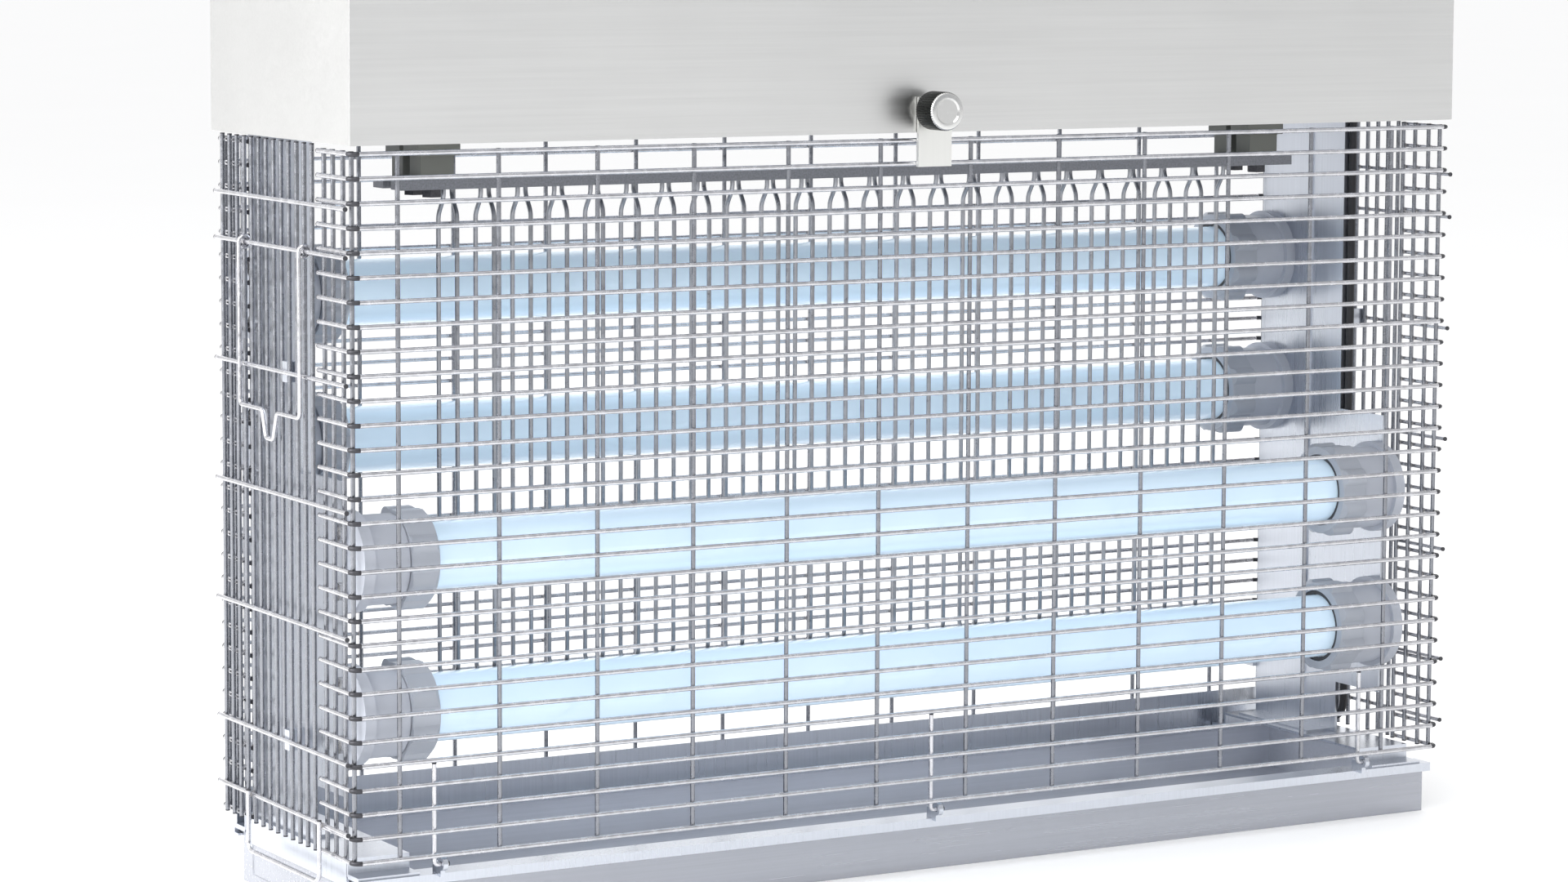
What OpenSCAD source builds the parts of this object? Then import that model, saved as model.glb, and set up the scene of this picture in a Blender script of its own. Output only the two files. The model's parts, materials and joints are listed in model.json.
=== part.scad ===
// Hanging electric insect killer: a sheet steel housing over a wire cage with four
// tubular lamps, a high-voltage wire grid and a catch tray that slides out.
// Millimetres. +X to the right, -Y to the front, +Z up. The origin is the middle of
// the tray's underside, which is the face the whole unit stands on.

/* [Housing] */
// Width over the end walls
body_w = 500; // [500:1:500]
// Depth from front to back
body_d = 130; // [130:1:130]
// Height of the housing box
housing_h = 72; // [66:1:100]
// Thickness of the housing and post sheet
sheet = 1.2; // [1:0.1:1.4]
// Distance between the two hanging holes
hang_spacing = 400; // [300:10:420]
// Diameter of a hanging hole, for an M6 bolt
hang_hole_d = 6.5; // [5:0.5:8]
// Bore of the cable gland
gland_bore_d = 7.2; // [6:0.2:9]

/* [Cage] */
// Diameter of the cage wire
wire_d = 1.8; // [1.6:0.1:1.9]
// Vertical distance between horizontal wires
row_pitch = 9; // [8.9:0.05:9]
// Number of horizontal wires in the front and back guards
row_count = 30; // [30:1:30]
// Sideways distance between the guards' upright wires
upright_pitch = 41; // [38:1:41]
// Distance between the side guards' upright wires
side_pitch = 7.06; // [7:0.02:7.1]
// How far the front and back guards return round the corners
return_len = 31; // [28:1:32]

/* [Lamps] */
// Radius of the lamp glass
lamp_r = 13; // [13:0.1:13]
// Length over the faces of a lamp's end caps
lamp_len = 437.4; // [437.4:0.1:437.4]
// Height between the two lamps of a pair
lamp_pitch = 57.5; // [50:0.5:58]
// Distance of each lamp from the middle plane
lamp_y = 40; // [38:0.5:40]
// Sideways shift of the lamps and grid from the middle of the housing
lamp_shift = -4; // [-4:0.5:0]

/* [High-voltage grid] */
// Number of grid wires, front and back together
grid_count = 47; // [31:2:47]
// Sideways distance between neighbouring grid wires
grid_pitch = 7.85; // [7.5:0.05:7.9]
// Diameter of the grid wire
grid_wire_d = 1.8; // [1.2:0.1:2]
// Middle plane of the grid
grid_y = -1; // [-2:0.5:1]
// Distance of each rail from the grid's middle plane
rail_offset = 8; // [8:0.5:9]

/* [Tray] */
// Depth of the catch tray
tray_h = 20; // [18:1:22]
// Width of the tray from front to back
tray_w = 110; // [104:1:110]
// Thickness of the tray sheet
tray_t = 1; // [0.8:0.1:1.2]

/* [Hidden] */

$fn = 48;
LEFT = -1;
RIGHT = 1;
eps = 0.01;

// Levels
half_w = body_w / 2;
half_d = body_d / 2;
guard_z = tray_h + 9.2;                          // lowest horizontal wire
guard_top_z = guard_z + (row_count - 1) * row_pitch;
floor_z = guard_top_z + 3.8;                     // underside of the housing floor
skirt = 0.8;                                     // the shell's edge hangs this far below the floor
top_z = floor_z + housing_h;
foot_z = tray_h + 8;                             // top of the foot brackets

// Wire. Eight flat sides give each weld a flat seat; neighbours bite into each other by weld.
wire_r = wire_d / 2;
weld = 0.1;
cross_gap = wire_d - weld;

// Guards
face_y = half_d - wire_r;                        // horizontal wires of the front and back guards
upright_y = face_y - cross_gap;
front_x = half_w - wire_r;                       // returns of the front guard
back_x = half_w - 2.4;                           // returns of the back guard, inside the side guards
side_x = half_w + 1.2;                           // cross wires of the side guards, outside them
side_upright_x = side_x - cross_gap;
bend_r = 3;
first_upright = 20;                              // from the left end of the housing
upright_count = 12;
return_uprights = [4.5, 12, 21, 29];             // from the guard's face
side_first_y = -half_d + 35.2;
side_uprights = 13;
flap_z = floor_z - 41.5;
side_rows = [floor_z - 23.7, flap_z, flap_z - 46.6, flap_z - 93.2, flap_z - 139.8, flap_z - 186.4, 40];

// Front guard hinge
hinge_y = -upright_y;
hinge_z = tray_h + 5.5;
hook_x = [-216, 0, 209];
hook_top_z = 64;
pin_len = 6;
lug_t = 2;
lug_offset = 2.5;
lug_r = 2.6;
hinge_clear = 0.1;

// Lamps and their holders: front upper, front lower, back upper, back lower
front_lamp_z = 80.5;
back_lamp_z = 173;
LAMPS = [
    [-lamp_y, front_lamp_z + lamp_pitch], [-lamp_y, front_lamp_z],
    [lamp_y, back_lamp_z + lamp_pitch], [lamp_y, back_lamp_z]
];
cap_r = lamp_r + 0.2;
cap_len = 9.3;
pin_r = 1.175;
pin_reach = 7.1;
pin_spacing = 12.7;
holder_seat = 19;                                // from the post to the lamp's seat
seat_clear = 0.3;
post_x = lamp_len / 2 + holder_seat + seat_clear;  // inner face of a post, from the lamps' middle
base_t = 4.5;
base_r = 19;
holder_r = 17;
spigot_r = 16.4;
spigot_end = 29.5;
ring_start = 19.6;
ring_end = 31;
ring_bore_r = 16.8;
ring_lip = 1.1;
ring_mouth_r = 14.9;
ring_r = 18.2;
lobe_count = 8;
lobe_r = 4.2;
lobe_at = 15.7;
seal_r = 14.6;
seal_t = 1.2;
holder_screw_z = 11;

// End posts
web_front = -half_d + 52;
web_back = -half_d + 110;
arm_front = -half_d + 22;
arm_low_z = 50;
arm_high_z = 168;
post_flange = 4.8;
bead_y = -half_d + 75;
bead_w = 7;
bead_h = 1.5;
tab_len = 12;
shelf_len = 62;
shelf_w = 36;

// Grid
rail_w = 9;
rail_t = 3.8;
rail_half = 206;
rail_top_z = floor_z - 17.2;                     // upper face of the top rails
shelf_z = foot_z + 35;                           // underside of the posts' shelves
insulator_low_h = 11;
rail_bottom_z = shelf_z + sheet + insulator_low_h;   // lower face of the bottom rails
wire_offset = rail_offset - 3.4;                   // of the grid wires at their rails, from the middle plane
run_top = 10;                                    // heights over which a wire leans into the middle plane
run_low = 8;
stub_top = 2;                                    // straight ends of a wire at its rails
stub_low = 1.5;
insulator_x = 191;
insulator_l = 18;
insulator_w = 13;
insulator_step = 8;

// Tray and runners
tray_left = -half_w + 7;
tray_right = half_w - 1;
tray_lip = 3.4;
panel_inset = 9;                                 // shallow panel pressed into the tray's left end
panel_low_z = 4;
panel_high_z = tray_h - 4.5;
panel_depth = 0.4;
runner_t = 0.8;
runner_clear = 0.4;
runner_web = tray_w / 2 + tray_lip + runner_clear;   // inner face of a runner's outer web
runner_low_z = tray_h - tray_t - runner_clear;       // upper face of its lower lip
runner_high_z = tray_h + 0.5;                        // lower face of its upper leg
runner_leg = 10;
bracket_t = 1;

// Latch: a tab welded to the front guard, with a thumb screw that enters a nut in the housing
latch_x = -7;
latch_z = floor_z + 8;
latch_gap = 0.3;                                 // between the tab and the housing, and the screw and the tab
latch_t = 1.5;
latch_left = -10.5;
latch_right = 4.5;
latch_low_z = floor_z - 14;
latch_high_z = floor_z + 13;
latch_front_y = -half_d - latch_gap - latch_t;
screw_r = 2.2;
screw_clear = 0.4;                               // round the screw in the housing and its nut
tab_clear = 0.1;                                 // round the screw in the tab
nut_r = 4.5;
nut_back_y = -half_d + 7;
screw_tip_y = -half_d + 4;
knob_r = 7.5;
knob_len = 15.4;

// Side flap
flap_hook_r = 2.1;
flap_x = -side_x - flap_hook_r;
flap_front_y = side_first_y + side_pitch / 2;
flap_back_y = flap_front_y + 8 * side_pitch;
flap_drop = 62;
flap_dip = 10.5;

// Housing fittings
screw_z = floor_z + 7;
screw_x = [-210, -70, 70, 210];
screw_hole_r = 2.1;
gland_x = 205;
gland_y = 25;
gland_hole_r = 9;
gland_body_r = 8.9;
gland_hex_r = 12.7;
gland_nut_r = 10.5;
cable_r = 1.6;
cable_x = -3;                                    // from the post, outside it
cable_y = web_front - cable_r - 0.2;
cable_tail = 12;
cable_bend_r = 8;
cable_low_z = 42;

// ---- helpers ----

// Octagonal bar, d across its flats, along +Z
module bar(d, len) {
    rotate([0, 0, 22.5]) cylinder(h = len, r = d / 2 / cos(22.5), $fn = 8);
}

module bar_x(x0, x1, y, z, d = wire_d) {
    translate([x0, y, z]) rotate([0, 90, 0]) bar(d, x1 - x0);
}

module bar_y(x, y0, y1, z, d = wire_d) {
    translate([x, y0, z]) rotate([-90, 0, 0]) bar(d, y1 - y0);
}

module bar_z(x, y, z0, z1, d = wire_d) {
    translate([x, y, z0]) bar(d, z1 - z0);
}

// Bent wire in a plane of constant x. It follows [y, z] points and is d wide along y.
module flat_wire(x, path, d) {
    last = len(path) - 1;
    front = [for (p = path) [p[0] - d / 2, p[1]]];
    back = [for (i = [last : -1 : 0]) [path[i][0] + d / 2, path[i][1]]];
    translate([x - d / 2, 0, 0]) rotate([90, 0, 90]) linear_extrude(height = d) polygon(concat(front, back));
}

// Square wire bent round a corner in a plane of constant z: from y_end along x, round a bend
// of radius r and along y, where it stops r short of the corner's own x
module corner_wire(x, y, y_end, z, r) {
    function arc(radius, angles) = [for (a = angles) [x - r + radius * sin(a), y + r - radius * cos(a)]];
    outer = arc(r + wire_r, [0 : 15 : 90]);
    inner = arc(r - wire_r, [90 : -15 : 0]);
    ends = [[x + wire_r, y_end], [x - wire_r, y_end]];
    translate([0, 0, z - wire_r]) linear_extrude(height = wire_d) polygon(concat(outer, ends, inner));
}

module plate(x0, x1, y0, y1, z0, z1) {
    translate([min(x0, x1), min(y0, y1), min(z0, z1)]) cube([abs(x1 - x0), abs(y1 - y0), abs(z1 - z0)]);
}

module rod_x(x0, x1, y, z, r) {
    translate([min(x0, x1), y, z]) rotate([0, 90, 0]) cylinder(h = abs(x1 - x0), r = r);
}

module rod_y(x, y0, y1, z, r) {
    translate([x, min(y0, y1), z]) rotate([-90, 0, 0]) cylinder(h = abs(y1 - y0), r = r);
}

module rod_z(x, y, z0, z1, r) {
    translate([x, y, min(z0, z1)]) cylinder(h = abs(z1 - z0), r = r);
}

// Places an end's pieces: built for the left end with the post's inner face at x = 0
// and +X towards the lamps, they are mirrored for the right end
module at_end(side) {
    translate([lamp_shift, 0, 0]) mirror([side == RIGHT ? 1 : 0, 0, 0]) translate([-post_x, 0, 0]) children();
}

function grid_x(i) = lamp_shift + (i - (grid_count - 1) / 2) * grid_pitch;

// ---- housing ----

module housing_shell() {
    color([0.83, 0.83, 0.82]) difference() {
        plate(-half_w, half_w, -half_d, half_d, floor_z - skirt, top_z);
        plate(-half_w + sheet, half_w - sheet, -half_d + sheet, half_d - sheet, floor_z - skirt - 1,
            top_z - sheet);
        for (x = [-hang_spacing / 2, hang_spacing / 2])
            rod_z(x, 0, top_z - 2 * sheet, top_z + 1, hang_hole_d / 2);
        rod_z(gland_x, gland_y, top_z - 2 * sheet, top_z + 1, gland_hole_r);
        for (x = screw_x) rod_y(x, half_d - 2 * sheet, half_d + 1, screw_z, screw_hole_r);
        rod_y(latch_x, -half_d - 1, -half_d + 2 * sheet, latch_z, screw_r + screw_clear);
    }
}

module housing_floor() {
    edge = sheet + 0.3;
    flange_h = 14;
    color([0.72, 0.73, 0.74]) difference() {
        plate(-half_w + edge, half_w - edge, -half_d + edge, half_d - edge, floor_z, floor_z + flange_h);
        plate(-half_w + edge + sheet, half_w - edge - sheet, -half_d + edge + sheet, half_d - edge - sheet,
            floor_z + sheet, floor_z + flange_h + 1);
        for (x = screw_x) rod_y(x, half_d - 5, half_d, screw_z, screw_hole_r);
        rod_y(latch_x, -half_d, -half_d + 6, latch_z, nut_r + 0.1);
        at_end(RIGHT) rod_z(cable_x, cable_y, floor_z - 1, floor_z + 3, cable_r + 0.5);
    }
}

module hanger_plates() {
    color([0.6, 0.61, 0.63]) for (x = [-hang_spacing / 2, hang_spacing / 2]) difference() {
        plate(x - 30, x + 30, -11, 11, top_z - sheet - 3, top_z - sheet);
        rod_z(x, 0, top_z - 6, top_z, hang_hole_d / 2);
    }
}

module cable_gland() {
    color([0.35, 0.37, 0.4]) difference() {
        union() {
            rod_z(gland_x, gland_y, top_z - 10, top_z, gland_body_r);
            translate([gland_x, gland_y, top_z]) cylinder(h = 7, r = gland_hex_r, $fn = 6);
            rod_z(gland_x, gland_y, top_z + 7, top_z + 15, gland_nut_r);
            translate([gland_x, gland_y, top_z + 15]) cylinder(h = 6, r1 = gland_nut_r, r2 = 6);
            translate([gland_x, gland_y, top_z - sheet - 5]) cylinder(h = 5, r = gland_hex_r, $fn = 6);
        }
        rod_z(gland_x, gland_y, top_z - 11, top_z + 22, gland_bore_d / 2);
    }
}

module housing_screws() {
    color([0.75, 0.75, 0.76]) for (x = screw_x) {
        rod_y(x, half_d, half_d + 2.2, screw_z, 3.6);
        rod_y(x, half_d - 8, half_d + 0.5, screw_z, 1.9);
    }
}

module latch_nut() {
    color([0.7, 0.7, 0.7]) difference() {
        rod_y(latch_x, -half_d + sheet, nut_back_y, latch_z, nut_r);
        rod_y(latch_x, -half_d, nut_back_y + 1, latch_z, screw_r + screw_clear);
    }
}

module transformer_core() {
    z0 = floor_z + sheet;
    color([0.3, 0.3, 0.32]) difference() {
        plate(-150, -84, -22, 22, z0, z0 + 56);
        plate(-139, -123, -23, 23, z0 + 11, z0 + 45);
        plate(-111, -95, -23, 23, z0 + 11, z0 + 45);
    }
}

module transformer_coil() {
    z0 = floor_z + sheet;
    color([0.65, 0.4, 0.2]) difference() {
        plate(-138.5, -95.5, -34, 34, z0 + 11.5, z0 + 44.5);
        plate(-123, -111, -22.3, 22.3, z0 + 10, z0 + 46);
        for (x = [-145, -95]) plate(x - 5, x + 5, -22.3, 22.3, z0 + 10, z0 + 46);
    }
}

module ballasts() {
    z0 = floor_z + sheet;
    color([0.85, 0.86, 0.88]) for (y = [-28, 28]) {
        plate(-20, 130, y - 20, y + 20, z0, z0 + 26);
        for (x = [-28, 130]) plate(x, x + 8, y - 20, y + 20, z0, z0 + 2);
    }
}

module terminal_block() {
    z0 = floor_z + sheet;
    color([0.9, 0.9, 0.88]) difference() {
        plate(170, 188, -24, 24, z0, z0 + 17);
        for (y = [-18 : 9 : 18]) rod_z(179, y, z0 + 8, z0 + 18, 2);
        for (y = [-18 : 9 : 18]) rod_x(169, 189, y, z0 + 5, 1.8);
    }
}

// ---- posts, brackets and runners ----

// Folded sheet post. Its front flange turns outwards above the arm that carries the front lamps.
module end_post(side) {
    color([0.66, 0.69, 0.74]) at_end(side) difference() {
        union() {
            plate(-sheet, 0, web_front, web_back, foot_z, floor_z);
            plate(-sheet, 0, arm_front, web_front + 1, arm_low_z, arm_high_z);
            plate(-post_flange - sheet, 0, web_front, web_front + sheet, arm_high_z, floor_z);
            plate(-sheet, bead_h, bead_y, bead_y + bead_w, foot_z + 12, floor_z - 8);
            plate(-sheet, tab_len, web_front + 4, web_back - 4, floor_z - sheet, floor_z);
            plate(-sheet, tab_len, web_front + 4, web_back - 4, foot_z, foot_z + sheet);
            plate(-sheet, shelf_len, grid_y - shelf_w / 2, grid_y + shelf_w / 2, shelf_z, shelf_z + sheet);
        }
        plate(-sheet - 1, bead_h - sheet, bead_y + sheet, bead_y + bead_w - sheet, foot_z + 13, floor_z - 9);
        for (p = LAMPS) for (dz = [-holder_screw_z, holder_screw_z]) rod_x(-3, 3, p[0], p[1] + dz, 2);
    }
}

// Inverted channel that joins the two runners under a post
module foot_bracket(side) {
    outer_x = half_w - 5;
    inner_x = outer_x - 25;
    wall_y = 49;
    foot_y = runner_web - 0.6;
    runner_top = runner_high_z + runner_t;
    color([0.7, 0.72, 0.75]) mirror([side == LEFT ? 1 : 0, 0, 0]) {
        plate(inner_x, outer_x, -wall_y, wall_y, foot_z - bracket_t, foot_z);
        for (s = [-1, 1]) {
            plate(inner_x, outer_x, s * (wall_y - bracket_t), s * wall_y, runner_top, foot_z);
            plate(inner_x, outer_x, s * (wall_y - bracket_t), s * foot_y, runner_top, runner_top + bracket_t);
        }
        if (side == LEFT)
            plate(outer_x - bracket_t, outer_x, -wall_y + 1.4, wall_y - 1.4, tray_h - 3, foot_z);
    }
}

// C-section rail. The tray's lip slides inside it.
module runner_profile(s) {
    x0 = -half_w + 5;
    x1 = half_w - 0.5;
    outer = runner_web + runner_t;
    plate(x0, x1, s * runner_web, s * outer, runner_low_z - runner_t, runner_high_z + runner_t);
    plate(x0, x1, s * (runner_web - runner_leg), s * outer, runner_high_z, runner_high_z + runner_t);
    plate(x0, x1, s * (tray_w / 2 + runner_clear), s * outer, runner_low_z - runner_t, runner_low_z);
}

module hinge_lug(x) {
    difference() {
        union() {
            rod_x(x, x + lug_t, hinge_y, hinge_z, lug_r);
            plate(x, x + lug_t, hinge_y, hinge_y + 7, runner_high_z, hinge_z);
        }
        rod_x(x - 1, x + lug_t + 1, hinge_y, hinge_z, wire_r / cos(22.5) + hinge_clear);
    }
}

module runner_front() {
    color([0.7, 0.72, 0.76]) {
        runner_profile(-1);
        for (x = hook_x) hinge_lug(x + lug_offset);
    }
}

// The back runner also has an upstand that closes the gap below the back guard
module runner_back() {
    upstand_x = half_w - 6;
    color([0.7, 0.72, 0.76]) {
        runner_profile(1);
        plate(-upstand_x, upstand_x, runner_web, runner_web + runner_t, runner_high_z, foot_z + 8);
    }
}

// Sleeved lamp leads that run down behind the right post's edge and turn in under the lowest holder
module lamp_cable() {
    color([0.08, 0.08, 0.09]) at_end(RIGHT) {
        rod_z(cable_x, cable_y, cable_low_z, floor_z + 6, cable_r);
        translate([cable_x, cable_y + cable_bend_r, cable_low_z]) rotate([0, 90, 0]) rotate([0, 0, -90])
            rotate_extrude(angle = 90) translate([cable_bend_r, 0]) circle(r = cable_r);
        rod_y(cable_x, cable_y + cable_bend_r, cable_y + cable_bend_r + cable_tail,
            cable_low_z - cable_bend_r, cable_r);
    }
}

// ---- high-voltage grid ----

module rail(y, z0) {
    color([0.45, 0.46, 0.48]) difference() {
        plate(-rail_half, rail_half, y - rail_w / 2, y + rail_w / 2, z0, z0 + rail_t);
        for (x = [-insulator_x, insulator_x]) rod_z(x, y, z0 - 1, z0 + rail_t + 1, 2.2);
    }
}

// One grid wire. It leaves its rails straight, then leans into the grid's middle plane.
module grid_wire(x, s) {
    y = grid_y + s * wire_offset;
    top = rail_top_z - rail_t;
    low = rail_bottom_z + rail_t;
    path = [
        [y, top], [y, top - stub_top], [grid_y, top - stub_top - run_top],
        [grid_y, low + stub_low + run_low], [y, low + stub_low], [y, low]
    ];
    flat_wire(x, path, grid_wire_d);
}

module grid_wires_front() {
    color([0.6, 0.6, 0.62]) for (i = [0 : 2 : grid_count - 1]) grid_wire(grid_x(i), -1);
}

module grid_wires_back() {
    color([0.5, 0.5, 0.52]) for (i = [1 : 2 : grid_count - 1]) grid_wire(grid_x(i), 1);
}

// Stepped block between the sheet metal and a rail, with a blind hole for the rail's bolt
module insulator(x, y, z0, z1, flip) {
    l = insulator_l;
    w = insulator_w;
    wide0 = flip ? z0 : z1 - insulator_step;
    difference() {
        union() {
            plate(x - l / 2, x + l / 2, y - w / 2, y + w / 2, wide0, wide0 + insulator_step);
            plate(x - l / 2 + 2, x + l / 2 - 2, y - w / 2 + 1.5, y + w / 2 - 1.5, z0, z1);
        }
        rod_z(x, y, flip ? z1 - 7 : z0 - 1, flip ? z1 + 1 : z0 + 7, 2.1);
    }
}

module insulators_top() {
    color([0.55, 0.56, 0.5]) for (x = [-insulator_x, insulator_x]) for (s = [-1, 1])
        insulator(x, grid_y + s * rail_offset, rail_top_z, floor_z, false);
}

module insulators_bottom() {
    color([0.55, 0.56, 0.5]) for (x = [-insulator_x, insulator_x]) for (s = [-1, 1])
        insulator(x, grid_y + s * rail_offset, shelf_z + sheet, rail_bottom_z, true);
}

module rail_bolts() {
    shank = rail_t + 6;
    color([0.3, 0.3, 0.32]) for (x = [-insulator_x, insulator_x]) for (s = [-1, 1]) {
        y = grid_y + s * rail_offset;
        rod_z(x, y, rail_top_z - rail_t, rail_top_z - rail_t + shank, 2);
        translate([x, y, rail_top_z - rail_t - 3]) cylinder(h = 3, r = 4, $fn = 6);
        rod_z(x, y, rail_bottom_z + rail_t, rail_bottom_z + rail_t - shank, 2);
        translate([x, y, rail_bottom_z + rail_t]) cylinder(h = 3, r = 4, $fn = 6);
    }
}

// ---- lamps ----

module tube(i) {
    p = LAMPS[i - 1];
    half = lamp_len / 2 - 1;
    color([0.75, 0.9, 1, 0.9]) translate([lamp_shift, 0, 0]) difference() {
        rod_x(-half, half, p[0], p[1], lamp_r);
        rod_x(-half - 1, half + 1, p[0], p[1], lamp_r - 0.8);
    }
}

// Both end caps of a lamp, each a cup with two contact pins
module caps(i) {
    p = LAMPS[i - 1];
    face = lamp_len / 2;
    color([0.8, 0.8, 0.8]) for (s = [-1, 1]) {
        difference() {
            rod_x(lamp_shift + s * (face - cap_len), lamp_shift + s * face, p[0], p[1], cap_r);
            rod_x(lamp_shift + s * (face - cap_len - 1), lamp_shift + s * (face - 1), p[0], p[1], lamp_r);
        }
        for (dz = [-pin_spacing / 2, pin_spacing / 2])
            rod_x(lamp_shift + s * (face - 0.5), lamp_shift + s * (face + pin_reach), p[0], p[1] + dz, pin_r);
    }
}

// Sealed lamp holder with a round groove in which the lamp's pins turn
module holder(p) {
    groove = 7.8;
    difference() {
        union() {
            rod_x(0, base_t, p[0], p[1], base_r);
            rod_x(0, holder_seat + 0.2, p[0], p[1], holder_r);
            rod_x(0, spigot_end, p[0], p[1], spigot_r);
        }
        rod_x(holder_seat, spigot_end + 1, p[0], p[1], cap_r + 0.3);
        difference() {
            rod_x(holder_seat - groove, holder_seat + 1, p[0], p[1], 8);
            rod_x(holder_seat - groove - 1, holder_seat + 2, p[0], p[1], 4.7);
        }
        for (dz = [-holder_screw_z, holder_screw_z]) rod_x(-1, 8, p[0], p[1] + dz, 1.7);
    }
}

module holders(side) {
    color([0.65, 0.67, 0.72]) at_end(side) for (p = LAMPS) holder(p);
}

module holder_screws() {
    color([0.8, 0.8, 0.8]) for (side = [LEFT, RIGHT]) at_end(side)
        for (p = LAMPS) for (dz = [-holder_screw_z, holder_screw_z]) {
            rod_x(-sheet - 1.6, -sheet, p[0], p[1] + dz, 3.4);
            rod_x(-sheet - 0.5, 7, p[0], p[1] + dz, 1.6);
        }
}

module ring_seals() {
    color([0.12, 0.12, 0.13]) for (side = [LEFT, RIGHT]) at_end(side) for (p = LAMPS) difference() {
        rod_x(spigot_end, spigot_end + seal_t, p[0], p[1], seal_r);
        rod_x(spigot_end - 1, spigot_end + seal_t + 1, p[0], p[1], lamp_r + 0.4);
    }
}

// Screw ring with finger lobes and a bevelled front edge
module ring(i, side) {
    p = LAMPS[i - 1];
    bevel = 3;
    rim = lobe_at + lobe_r;
    color([0.62, 0.65, 0.7]) at_end(side) translate([0, p[0], p[1]]) rotate([0, 90, 0]) difference() {
        intersection() {
            union() {
                translate([0, 0, ring_start]) cylinder(h = ring_end - ring_start, r = ring_r);
                for (k = [0 : lobe_count - 1]) rotate([0, 0, (k + 0.5) * 360 / lobe_count])
                    translate([lobe_at, 0, ring_start]) cylinder(h = ring_end - ring_start, r = lobe_r);
            }
            union() {
                translate([0, 0, ring_start - 1])
                    cylinder(h = ring_end - bevel - ring_start + 1, r = rim + 1);
                translate([0, 0, ring_end - bevel - eps])
                    cylinder(h = bevel + 1, r1 = rim + 1, r2 = rim - 3);
            }
        }
        translate([0, 0, ring_start - 1]) cylinder(h = ring_end - ring_lip - ring_start + 1, r = ring_bore_r);
        translate([0, 0, ring_start]) cylinder(h = ring_end, r = ring_mouth_r);
    }
}

// ---- guards ----

function row_z(k) = guard_z + k * row_pitch;

// Flat welded mesh of a front or back guard; s is -1 at the front and 1 at the back
module guard_mesh(s, plane_x) {
    for (k = [0 : row_count - 1]) bar_x(-plane_x + bend_r, plane_x - bend_r, s * face_y, row_z(k));
    for (i = [0 : upright_count - 1])
        bar_z(-half_w + first_upright + i * upright_pitch, s * upright_y, guard_z - wire_r,
            guard_top_z + wire_r);
}

// Corner bends and the legs along the side, built at the front right and mirrored
module guard_return(side, s, plane_x) {
    mirror([side == LEFT ? 1 : 0, 0, 0]) mirror([0, s == 1 ? 1 : 0, 0]) {
        for (k = [0 : row_count - 1]) corner_wire(plane_x, -face_y, -half_d + return_len, row_z(k), bend_r);
        for (y = return_uprights)
            bar_z(plane_x - cross_gap, -half_d + y, guard_z - wire_r, guard_top_z + wire_r);
    }
}

module front_guard_face() {
    color([0.8, 0.8, 0.82]) {
        guard_mesh(-1, front_x);
        for (x = hook_x) {
            bar_z(x, hinge_y, hinge_z - wire_r, hook_top_z);
            bar_x(x, x + pin_len, hinge_y, hinge_z);
        }
    }
}

module back_guard_face() {
    color([0.76, 0.76, 0.78]) guard_mesh(1, back_x);
}

// Welded side mesh: close uprights with cross wires outside them
module side_guard(side) {
    color([0.78, 0.78, 0.8]) mirror([side == LEFT ? 1 : 0, 0, 0]) {
        for (k = [0 : side_uprights - 1])
            bar_z(side_upright_x, side_first_y + k * side_pitch, guard_z - wire_r, floor_z - skirt - 0.5);
        for (z = side_rows) bar_y(side_x, -half_d + 1.5, half_d - 6.5, z);
    }
}

// Wire stirrup on the left side guard's lowest cross wire. It stops the tray at that end.
module tray_stirrup() {
    x = -side_x - wire_d;
    front = -half_d + 24;
    back = -half_d + 91;
    low = tray_h - 1.5;
    high = side_rows[6] + 2;
    color([0.78, 0.78, 0.8]) difference() {
        plate(x - wire_r, x + wire_r, front - wire_r, back + wire_r, low - wire_r, high);
        plate(x - wire_d, x + wire_d, front + wire_r, back - wire_r, low + wire_r, high + 1);
    }
}

// Blocks that hold the side and back guards off the posts
module guard_clips() {
    clip_y = side_first_y + 3.5 * side_pitch;
    clip_w = 4.6;
    clip_h = 8;
    color([0.85, 0.86, 0.88]) {
        for (z = [side_rows[2], side_rows[5]]) {
            plate(-side_x + wire_r, lamp_shift - post_x - sheet, clip_y - clip_w / 2, clip_y + clip_w / 2,
                z - clip_h / 2, z + clip_h / 2);
            plate(side_x - wire_r, lamp_shift + post_x + sheet, clip_y - clip_w / 2, clip_y + clip_w / 2,
                z - clip_h / 2, z + clip_h / 2);
        }
        for (side = [LEFT, RIGHT]) at_end(side) for (z = [row_z(2) + 1, row_z(11) + 1])
            plate(-sheet, 2, web_back, face_y - wire_r, z, z + clip_h);
    }
}

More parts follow.
